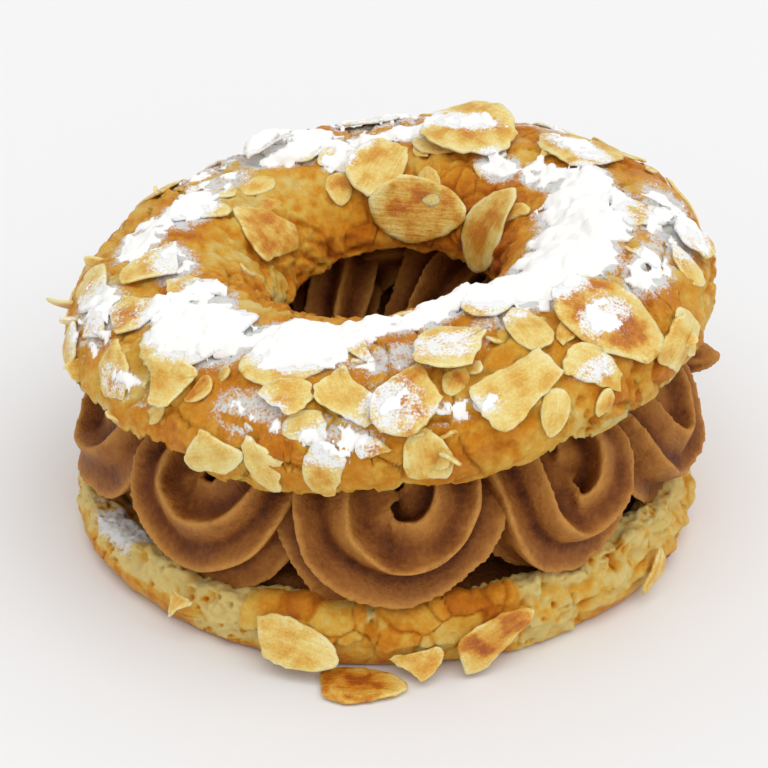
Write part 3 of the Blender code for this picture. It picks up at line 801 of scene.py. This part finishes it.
def swirl_rope(index):
    """One swirl's (points, faces): the loop, with the tail where it has one."""
    first = SWIRL_EDGES[index]
    width = (SWIRL_EDGES[(index + 1) % len(SWIRL_EDGES)] - first) % 360
    axes = ring_axes(first + width / 2)
    widen = width / SWIRL_WIDTH
    stretch = (lid_cut_height(axes[0][0] * 40) - BED_HEIGHT) / SWIRL_HEIGHT
    spots, shares = zip(*SWIRL_LOOP)
    line = placed_line(spots, SWIRL_STATIONS, axes, widen, SWIRL_OUT[index], stretch)
    radii = SWIRL_ROPE * (0.5 + 0.5 * widen) * placed_radii(shares, SWIRL_STATIONS)
    ridges, twist = SWIRL_RIDGES[index], SWIRL_TWISTS[index]
    points = star_rope(line, radii, SWIRL_ROUND, ridges, twist, 200 + 20 * index).reshape(-1, 3)
    faces = rope_faces(SWIRL_STATIONS, SWIRL_ROUND)
    if index == TAIL_OF:
        line = placed_line(TAIL_LINE, TAIL_STATIONS, axes)
        radii = placed_radii(TAIL_RADII, TAIL_STATIONS)
        tail = star_rope(line, radii, TAIL_ROUND, TAIL_RIDGES, TAIL_TWIST, 290)
        faces += rope_faces(TAIL_STATIONS, TAIL_ROUND, len(points))
        points = np.concatenate([points, tail.reshape(-1, 3)])
    return points, faces


def merged(points, faces, voxel):
    """The outside of a mesh that crosses itself, as new even points and quads."""
    mesh = bpy.data.meshes.new("merging")
    mesh.from_pydata(points.tolist(), [], faces)
    obj = bpy.data.objects.new("merging", mesh)
    bpy.context.scene.collection.objects.link(obj)
    step = obj.modifiers.new("Merge", "REMESH")
    step.mode = "VOXEL"
    step.voxel_size = voxel
    graph = bpy.context.evaluated_depsgraph_get()
    whole = obj.evaluated_get(graph).to_mesh()
    out = np.empty(len(whole.vertices) * 3)
    whole.vertices.foreach_get("co", out)
    quads = np.array([tuple(face.vertices) for face in whole.polygons])
    obj.evaluated_get(graph).to_mesh_clear()
    bpy.data.objects.remove(obj)
    bpy.data.meshes.remove(mesh)
    return out.reshape(-1, 3), quads


def build_swirls(finish):
    for index in range(len(SWIRL_EDGES)):
        points, faces = merged(*swirl_rope(index), SWIRL_VOXEL)
        points[:, 2] = np.maximum(points[:, 2], SWIRL_FOOT)
        name = f"swirl_{index + 1:02d}"
        # How deep each point lies among the ridges, which the cream's colour uses as painted shade in the
        # valleys.
        hollow = np.clip(hollows(points, faces, 14), -0.5, 0.8)
        swirl = mesh_object(name, points + np.array(CENTRE), faces, finish, [("hollow", hollow)])
        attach(swirl, "root")
        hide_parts(f"cream_{name}")


BED_ROUND, BED_LINE = 280, 60


def build_bed(finish):
    angles = np.linspace(-180, 180, BED_ROUND, endpoint=False)
    wave = 0.5 * rough(ring_points(angles, 46.0, 0.0), 8.0, 171, 2)
    swell = bump_at(angles, -36, 20, 18)  # it wells up between two swirls
    top = BED_HEIGHT + 0.2
    line = outline(0 * angles, (40.0, 4.6), (45.0, 6.0), (46.6 + swell, 7.6),
                   (46.0 + 1.6 * swell, BED_HEIGHT - 0.2 + 1.6 * swell),
                   (43.0 + swell, top + 2.2 * swell), (28.0, top), (24.6, BED_HEIGHT - 0.4),
                   (24.6, 7.2), (27.0, 5.4), (32.0, 4.6))
    profile = even_line(line, BED_LINE)
    points = ring_points(angles[:, None], profile[..., 0], profile[..., 1])
    relief = wave[:, None] + 0.3 * rough(points, 3.0, 175, 2)
    points = points + ring_normals(points) * relief[..., None]
    points = points.reshape(-1, 3) + np.array(CENTRE)
    # The bed gets one even amount of the cream's painted valley shade.
    faces, hollow = ring_faces(BED_ROUND, BED_LINE), np.full(len(points), 0.12)
    bed = mesh_object("bed_of_cream", points, faces, finish, [("hollow", hollow)])
    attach(bed, "root")
    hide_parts("cream_bed")


# --- the almond flakes ---

FLAKE_THICKNESS, FLAKE_ROUND = 0.8, 44
FLAKE_RINGS = np.array([0.3, 0.55, 0.76, 0.9, 0.98])  # shares of the way from the middle to the rim


def quadratic(a, b, heights):
    """The surface nearest to heights over a plane."""
    terms = np.stack([np.ones_like(a), a, b, a * a, a * b, b * b], -1)
    return np.linalg.lstsq(terms, heights, rcond=None)[0]


def on_quadratic(curve, a, b):
    """Heights of such a surface."""
    flat = curve[0] + curve[1] * a + curve[2] * b
    return flat + curve[3] * a**2 + curve[4] * a * b + curve[5] * b**2


def flake_rim(length, width, broken, seed):
    """A flake's outline in its own plane: pointed at one end, with its broken sides cut off."""
    turn = 2 * math.pi * np.arange(FLAKE_ROUND) / FLAKE_ROUND
    a = 0.5 * length * np.cos(turn)
    b = 0.5 * width * (1.0 - 0.22 * np.cos(turn)) * np.sin(turn)
    rim = np.stack([a, b, 9.0 * seed + 0 * a], -1)
    ruffle = 1 + 0.07 * rough(rim, 4.0, 301, 2) + 0.05 * rough(rim, 1.1, 303)
    a, b = a * ruffle, b * ruffle
    for cut_turn, cut_at in broken:
        across, up = math.cos(cut_turn), math.sin(cut_turn)
        reach = a * across + b * up
        span = 0.5 * math.hypot(length * across, width * up)
        limit = span * cut_at + 0.45 * rough(rim, 1.5, 305, 2)
        over = np.maximum(reach - limit, 0)
        a, b = a - over * across, b - over * up
    return a, b


def flake_faces():
    """Triangles of one flake: its upper side, its lower side and its edge."""
    n, half = FLAKE_ROUND, 1 + FLAKE_ROUND * len(FLAKE_RINGS)
    side = [(0, 1 + k, 1 + (k + 1) % n) for k in range(n)]
    for ring, k in itertools.product(range(len(FLAKE_RINGS) - 1), range(n)):
        p, q, k2 = 1 + ring * n, 1 + (ring + 1) * n, (k + 1) % n
        side += [(p + k, q + k, q + k2), (p + k, q + k2, p + k2)]
    faces = side + [tuple(half + corner for corner in face[::-1]) for face in side]
    last = half - n
    for k in range(n):
        k2 = (k + 1) % n
        faces.append((last + k, last + half + k, last + half + k2))
        faces.append((last + k, last + half + k2, last + k2))
    return np.array(faces)


class Flakes:
    """Collects flakes as one mesh."""

    def __init__(self, seed):
        self.random = np.random.default_rng(seed)
        self.points, self.places, self.looks = [], [], []

    def add(self, centre, axes, length, width, curve, toast, broken, seed):
        """A thin cupped slice whose middle follows curve, a quadratic in its own plane."""
        long_way, side_way, normal = axes
        a, b = flake_rim(length, width, broken, seed)
        a = np.concatenate([[0.0], np.outer(FLAKE_RINGS, a).ravel()])
        b = np.concatenate([[0.0], np.outer(FLAKE_RINGS, b).ravel()])
        rho = np.concatenate([[0.0], np.repeat(FLAKE_RINGS, FLAKE_ROUND)])
        spot = np.stack([a, b, seed * 7.0 + 0 * a], -1)
        lift = on_quadratic(curve, a, b) + 0.30 * rough(spot, 4.5, 311, 2)
        lift = lift + 0.10 * rough(spot, 1.4, 315) + 0.35 * rho**4 * rough(spot, 5.0, 317)
        thick = FLAKE_THICKNESS * (1 - 0.35 * rho**3)
        thick[rho > 0.97] *= 0.5
        flat = centre + np.outer(a, long_way) + np.outer(b, side_way)
        for sign in (1, -1):
            self.points.append(flat + np.outer(lift + sign * thick / 2, normal))
            self.places.append(spot + np.array([0, 0, 0.5 * sign]))
            self.looks.append(np.stack([rho, toast + 0 * rho, 0 * rho], -1))

    def mesh(self):
        """Points, faces, and each point's place in its flake and looks (rim, toast, dust)."""
        one, size = flake_faces(), 2 * len(self.points[0])
        faces = np.concatenate([one + size * i for i in range(len(self.points) // 2)])
        return *(np.concatenate(part) for part in (self.points, self.places, self.looks)), faces


def packed_flake(node, outward_of):
    """Centre, axes, size and curve of a packed flake."""
    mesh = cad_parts[node].data
    points = np.unique(np.round([tuple(v.co / MM) for v in mesh.vertices], 2), axis=0)
    centre = points.mean(0)
    long_way, side_way, normal = np.linalg.svd(points - centre)[2]
    if normal.dot(outward_of(centre)) < 0:
        normal = -normal
    a, b, h = ((points - centre) @ axis for axis in (long_way, side_way, normal))
    ends = (b[a > 0.25 * np.ptp(a)], b[a < -0.25 * np.ptp(a)])
    if np.abs(ends[0]).max(initial=0) > np.abs(ends[1]).max(initial=0):  # the pointed end comes last
        long_way, a = -long_way, -a
    side_way = np.cross(normal, long_way)
    b = (points - centre) @ side_way
    return centre, (long_way, side_way, normal), np.ptp(a), np.ptp(b), quadratic(a, b, h)


def lid_outward(centre):
    """Away from the middle of the lid's dome."""
    place = to_lid(centre)
    x, y = place[:2] / math.hypot(place[0], place[1]) * LID_MIDDLE
    return (place - np.array([x, y, LID_WAIST - 2.0])) @ LID_AXES.T


def base_outward(centre):
    """Away from the base's wall, or up for a flake on the floor."""
    place = centre - np.array(CENTRE)
    flat = place / np.hypot(place[0], place[1])
    return np.array([flat[0], flat[1], 0.4]) if place[2] > 1.5 else np.array([0, 0, 1.0])


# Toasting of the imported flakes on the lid, in their order, from 0 (pale) to 1 (deep orange).
LID_TOAST = (
    0.3, 0.3, 0.35, 0.25, 0.35, 0.25, 0.2, 0.4, 0.55, 0.3, 0.3, 0.4, 0.3, 0.35, 0.55, 0.25, 0.35, 0.3,
    0.35, 0.62, 0.45, 0.35, 0.40, 0.5, 0.5, 0.65, 0.35, 0.3, 0.60, 0.45, 0.3, 0.3, 0.35, 0.4,
    0.35, 0.4, 0.35, 0.4,
)
LID_WHOLE = (1, 2, 20, 21, 23, 24, 26)  # numbers of the flakes with no broken side
LID_SUNK = 0.45
EXTRA_FLAKES, EXTRA_TRIES, EXTRA_GAP, SHARDS = 62, 4000, 5.0, 26
SHARD_CURVE = np.array([0.0, 0.0, 0.0, 0.015, 0.0, 0.01])
# Broken bits that stand out of the crust: angle, place over the dome, length, and how far out.
TIPS = (
    (-90, 16, 8.0, 0.12), (-99, 30, 6.0, 0.0), (-80, 22, 7.0, -0.05), (-70, 8, 6.5, -0.05),
    (60, 6, 6.0, -0.05),
)


def cracks_off(random, least, most):
    """One to three broken sides: the way each faces, and how far out it is."""
    first, count = random.uniform(0, math.tau), random.integers(1, 4)
    return [(first + random.uniform(1.2, 2.4) * k, random.uniform(least, most)) for k in range(count)]


def crust_hit(crust_tree, angle, over):
    """The way out of the lid at a place over its dome, and the crust's place and normal there."""
    turn, angle = math.radians(over), np.array(angle)
    outward = ring_points(angle, math.cos(turn), math.sin(turn))
    start = to_world(ring_points(angle, LID_MIDDLE, LID_WAIST) + outward * 40)
    outward = LID_AXES @ outward
    place, normal, _, _ = crust_tree.ray_cast(Vector(start), Vector(-outward))
    return outward, place, normal


def extra_flake(flakes, crust_tree, centres):
    """Tries to lay one more flake on the crust; centres grows where there is room for it."""
    random = flakes.random
    angle = random.uniform(-180, 180)
    over = random.choice([random.uniform(-8, 150), random.uniform(-8, 45)])
    length, toast = random.uniform(5.0, 10.5), random.uniform(0.15, 0.7)
    heading = random.uniform(0, math.tau)
    _, place, crust_normal = crust_hit(crust_tree, angle, over)
    if place is None:
        return
    place = np.array(place)
    if min(np.linalg.norm(place - centre) for centre in centres) < EXTRA_GAP:
        return
    steep = random.random() < 0.4
    normal = unit(lid_outward(place)) + 0.35 * np.array(crust_normal)
    normal = unit(normal + random.normal(0, 0.38 if steep else 0.10, 3))
    level = unit(np.cross([0, 0, 1.0], normal))
    long_way = level * math.cos(heading) + np.cross(normal, level) * math.sin(heading)
    side_way = np.cross(normal, long_way)
    width = length * random.uniform(0.55, 0.75)
    samples = []
    for a, b in itertools.product((-0.45, 0, 0.45), repeat=2):
        spot = place + long_way * a * length + side_way * b * width + normal * 6
        under = crust_tree.ray_cast(Vector(spot), Vector(-normal), 12)[0]
        if under is not None:
            samples.append((a * length, b * width, (np.array(under) - place).dot(normal)))
    if len(samples) < 9:
        return
    a, b, h = np.array(samples).T
    curve = quadratic(a, b, h) * np.array([1, 0.8, 0.8, 0.5, 0.5, 0.5])
    curve[0] += 0.35 * (h - on_quadratic(curve, a, b)).max() + (0.5 if steep else 0.1)
    broken = cracks_off(random, 0.2, 0.8) if random.random() < 0.85 else []
    seed = 100 + len(centres) - len(LID_TOAST)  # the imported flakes' centres come first
    flakes.add(place, (long_way, side_way, normal), length, width, curve, toast, broken, seed)
    centres.append(place)


def shard(flakes, crust_tree, index):
    """Stands a broken bit out of the crust: one of TIPS, or one at random."""
    random = flakes.random
    angle, over = random.uniform(-130, 40), random.uniform(-5, 70)
    length, out = random.uniform(4.5, 8.5), random.uniform(-0.3, -0.08)
    tip = index < len(TIPS)
    if tip:
        angle, over, length, out = TIPS[index]
    outward, place, _ = crust_hit(crust_tree, angle, over)
    if place is None:
        return
    side = random.normal(0, 1, 3)
    side = unit(np.cross(outward, side - outward * side.dot(outward)))
    lean = random.uniform(-0.9, 0.9)
    long_way = outward if tip else unit(outward * 0.75 + side * lean)
    normal = unit(np.cross(long_way, side if tip else np.cross(long_way, side)))
    toast = random.uniform(0.15, 0.6)
    place = np.array(place) + long_way * out * length
    axes = (long_way, np.cross(normal, long_way), normal)
    broken = cracks_off(random, 0.3, 0.8)
    flakes.add(place, axes, length, length * 0.65, SHARD_CURVE, toast, broken, 200 + index)


def lid_flakes(crust_tree):
    flakes = Flakes(7)
    nodes = sorted(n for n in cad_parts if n.startswith("lid_almond"))
    centres = []
    for i, node in enumerate(nodes):
        centre, axes, length, width, curve = packed_flake(node, lid_outward)
        centres.append(centre)
        broken = [] if i + 1 in LID_WHOLE else cracks_off(flakes.random, 0.45, 0.85)
        place = centre - axes[2] * LID_SUNK
        flakes.add(place, axes, length * 1.06, width * 1.1, curve, LID_TOAST[i], broken, i)
    for _ in range(EXTRA_TRIES):
        extra_flake(flakes, crust_tree, centres)
        if len(centres) == len(nodes) + EXTRA_FLAKES:
            break
    for index in range(len(TIPS) + SHARDS):
        shard(flakes, crust_tree, index)
    return flakes, nodes


# Toasting and broken sides (the way one faces, and how far out it is) of the base's flakes.
BASE_LOOKS = (
    (0.30, [(3.6, 0.8)]), (0.40, [(1.6, 0.3), (4.0, 0.6)]), (0.72, [(2.8, 0.8), (4.9, 0.7)]),
    (0.25, [(0.4, 0.3), (2.4, 0.5), (4.4, 0.6)]), (0.35, [(1.0, 0.4), (3.5, 0.5)]), (0.35, []),
    (0.35, [(1.2, 0.6)]), (0.85, [(3.3, 0.85)]),
)
BASE_OUT = (1.0, 0.3, 0.9, 0.6, 0.0, 0.0, 0.0, 0.0)  # how far each is moved out, clear of the crust
BASE_NARROW = (0.78, 1.3, 0.76, 1.0, 1.0, 1.0, 1.0, 1.0)


def base_flakes():
    flakes = Flakes(8)
    nodes = sorted(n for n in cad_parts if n.startswith(("base_almond", "floor_almond")))
    for i, node in enumerate(nodes):
        centre, axes, length, width, curve = packed_flake(node, base_outward)
        toast, broken = BASE_LOOKS[i]
        place, width = centre + axes[2] * BASE_OUT[i], width * BASE_NARROW[i]
        flakes.add(place, axes, length * 1.03, width, curve, toast, broken, 400 + i)
    return flakes, nodes


def build_flakes(name, flakes, nodes, finish, dusty):
    points, places, looks, faces = flakes.mesh()
    points[:, 2] = np.maximum(points[:, 2], 0.02)
    if dusty:
        local = to_lid(points)
        looks[:, 2] = dust_of(local, np.tile([0, 0, 1.0], (len(local), 1)))
    attributes = [("flake_place", places), ("flake_look", looks)]
    piece = mesh_object(name, points, faces, finish, attributes)
    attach(piece, "root")
    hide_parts(*nodes)
    return points, faces


# --- the icing sugar ---

SUGAR_STEP, SUGAR_REACH, SUGAR_THICK, SUGAR_LEAST, SUGAR_BRIDGE = 0.36, 60.0, 1.0, 0.06, 1.4
LID_LOWEST = 36.0  # whatever is lower is seen through the hole


def around(grid):
    """A grid's eight neighbours at each cell."""
    return np.stack([np.roll(grid, (a, b), (0, 1)) for a in (-1, 0, 1) for b in (-1, 0, 1) if a or b])


def bridged(ground):
    """Ground with its narrow clefts filled, as powder lies across them."""
    low = np.nan_to_num(ground, nan=-99)
    high = low
    for _ in range(2):
        high = np.maximum(high, around(high).max(0))
    for _ in range(2):
        high = np.minimum(high, around(high).min(0))
    return np.where(np.isnan(ground), np.nan, np.where(high - low < SUGAR_BRIDGE, high, low))


def ground_seen(tree, x, y):
    """Heights of what lies highest on the lid (NaN off it), and how level it is."""
    ground, level = np.full(x.shape, np.nan), np.zeros(x.shape)
    guess = to_lid(np.stack([x, y, 45.0 + 0 * x], -1))
    radius = np.hypot(guess[..., 0], guess[..., 1])
    for i, j in zip(*np.nonzero((radius > 15) & (radius < 60))):
        place, normal, _, _ = tree.ray_cast(Vector((x[i, j], y[i, j], 90)), Vector((0, 0, -1)))
        if place is not None and place.z > LID_LOWEST:
            ground[i, j], level[i, j] = place.z, abs(normal.z)
    return bridged(ground), np.maximum(level, around(level).max(0))


def sugar_thickness(x, y, ground, level):
    """How thick the sugar lies, and whether it lies there at all."""
    points = np.stack([x, y, np.nan_to_num(ground)], -1)
    angle, over = lid_angles(to_lid(points))
    fallen = sugar_at(angle, over) * smooth_step(level, 0.25, 0.6)
    flat = points * np.array([1, 1, 0.4])
    depth = fallen + 0.34 * rough(flat, 5.0, 501, 2) + 0.52 * rough(flat, 1.9, 505, 3) - 0.64
    for _ in range(2):  # single bare cells fill up from their neighbours
        near = around(depth)
        covered = (near > SUGAR_LEAST).sum(0) >= 5
        depth = np.where(covered, np.maximum(depth, np.median(near, 0)), depth)
    depth = np.where(np.isnan(ground), -1, depth)
    clods = 0.34 * blistered(flat, 2.6, 515) + 0.22 * rough(flat, 1.2, 517, 2)
    thick = SUGAR_THICK * smooth_step(depth, SUGAR_LEAST, 0.7)
    thick += smooth_step(depth, 0.10, 0.40) * clods
    kept = depth > SUGAR_LEAST
    return np.where(kept, np.maximum(thick, 0.05), 0), kept


def settled(ground, thick):
    """The sugar's upper side, smoothed where it lies thick."""
    top = ground + thick
    settle = smooth_step(thick, 0.5, SUGAR_THICK) * 0.35
    for _ in range(2):
        near = sum(np.roll(top, s, a) for s in (1, -1) for a in (0, 1)) / 4
        lower = np.maximum(top + (near - top) * settle, ground + 0.1)
        top = np.where(np.abs(near - top) < 1.2, lower, top)
    return top


def drift_faces(kept, ground):
    """Quads of the upper side, the lower side and the walls between, over the cells kept."""
    count = len(kept)
    quad = kept[:-1, :-1] & kept[1:, :-1] & kept[:-1, 1:] & kept[1:, 1:]
    low = np.nan_to_num(ground, nan=-99)
    corners = [low[a : a + count - 1, b : b + count - 1] for a in (0, 1) for b in (0, 1)]
    quad &= np.ptp(np.stack(corners), axis=0) < SUGAR_BRIDGE
    index = np.arange(kept.size).reshape(kept.shape)
    q = np.stack([index[:-1, :-1], index[1:, :-1], index[1:, 1:], index[:-1, 1:]], -1)[quad]
    edges = np.concatenate([q[:, [k, (k + 1) % 4]] for k in range(4)])
    there, back = edges @ (kept.size, 1), edges @ (1, kept.size)
    border = edges[~np.isin(there, back)]
    lower = border + kept.size
    walls = np.stack([border[:, 1], border[:, 0], lower[:, 0], lower[:, 1]], -1)
    return np.concatenate([q, q[:, ::-1] + kept.size, walls])


def build_sugar(tree, finish):
    """A drift that lies where sugar fell, closed below just under the crust."""
    side = np.arange(-SUGAR_REACH, SUGAR_REACH, SUGAR_STEP)
    x, y = np.meshgrid(side + CENTRE.x, side + CENTRE.y, indexing="ij")
    ground, level = ground_seen(tree, x, y)
    thick, kept = sugar_thickness(x, y, ground, level)
    used, faces = np.unique(drift_faces(kept, ground), return_inverse=True)
    ground = np.nan_to_num(ground)
    upper = np.stack([x, y, settled(ground, thick)], -1).reshape(-1, 3)
    jitter = 0.12 * np.stack([rough(upper, 0.7, 521), rough(upper, 0.7, 522), 0 * upper[:, 0]], -1)
    lower = np.stack([x, y, ground - 0.3], -1).reshape(-1, 3)
    points = np.concatenate([upper + jitter, lower])
    piece = mesh_object("icing_sugar", points[used], faces.reshape(-1, 4), finish)
    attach(piece, "root")


# --- stage, light and camera ---

CAMERA_AIM = Vector((-0.3, 0.0, 23.5))
CAMERA_DISTANCE, CAMERA_ELEVATION, CAMERA_LENS = 500.0, math.radians(30), 130.3
FLOOR_REACH = 3.0
SKY_STRENGTH, KEY_STRENGTH, KEY_SPREAD = 0.66, 1.42, math.radians(75)
KEY_FROM = Vector((0.22, -0.38, 1.0))


def build_stage():
    mesh = bpy.data.meshes.new("floor")
    corners = [(x * FLOOR_REACH, y * FLOOR_REACH, 0) for x, y in ((-1, -1), (1, -1), (1, 1), (-1, 1))]
    mesh.from_pydata(corners, [], [(0, 1, 2, 3)])
    floor = bpy.data.objects.new("floor", mesh)
    bpy.context.scene.collection.objects.link(floor)
    f = Finish("pale_floor", Roughness=0.75)
    stops = [(0.3, (0.865, 0.865, 0.87)), (0.7, (0.875, 0.875, 0.88))]
    f.colour(f.ramp(f.texture(3.0, 2.0), stops))
    mesh.materials.append(f.made)


def build_lights():
    world = bpy.data.worlds.new("studio")
    world.use_nodes = True
    sky = world.node_tree.nodes["Background"]
    sky.inputs["Color"].default_value = (1.0, 1.0, 1.0, 1.0)
    sky.inputs["Strength"].default_value = SKY_STRENGTH
    bpy.context.scene.world = world
    data = bpy.data.lights.new("key", "SUN")
    data.energy, data.angle = KEY_STRENGTH, KEY_SPREAD
    key = bpy.data.objects.new("key", data)
    key.rotation_euler = (-KEY_FROM).to_track_quat("-Z", "Y").to_euler()
    bpy.context.scene.collection.objects.link(key)


def build_camera():
    data = bpy.data.cameras.new("camera")
    data.sensor_width, data.lens = 36.0, CAMERA_LENS
    camera = bpy.data.objects.new("camera", data)
    back = Vector((0.0, -math.cos(CAMERA_ELEVATION), math.sin(CAMERA_ELEVATION)))
    camera.location = (CENTRE + CAMERA_AIM + back * CAMERA_DISTANCE) * MM
    camera.rotation_euler = (math.pi / 2 - CAMERA_ELEVATION, 0.0, 0.0)
    bpy.context.scene.collection.objects.link(camera)
    bpy.context.scene.camera = camera
    bpy.context.scene.view_settings.view_transform = "Standard"


# --- the whole ---


def main():
    build_camera()
    build_lights()
    build_stage()
    lid_crust, base_crust = crust_finish("lid_crust"), crust_finish("base_crust")
    cream, almond, sugar = cream_finish(), almond_finish(), sugar_finish()

    points, faces, attributes = build_base()
    base = mesh_object("crust_of_base", points, faces, base_crust, attributes)
    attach(base, "root")
    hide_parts("base_choux")

    lid_points, lid_faces, attributes = build_lid()
    lid = mesh_object("crust_of_lid", lid_points, lid_faces, lid_crust, attributes)
    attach(lid, "root")
    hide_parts("lid_choux")

    build_bed(cream)
    build_swirls(cream)

    flakes, nodes = lid_flakes(tree_of((lid_points, lid_faces)))
    flake_points, flake_faces = build_flakes("flakes_on_lid", flakes, nodes, almond, True)
    build_flakes("flakes_on_base", *base_flakes(), almond, False)
    triangles = np.concatenate([lid_faces[:, [0, 1, 2]], lid_faces[:, [0, 2, 3]]])
    build_sugar(tree_of((lid_points, triangles), (flake_points, flake_faces)), sugar)


main()
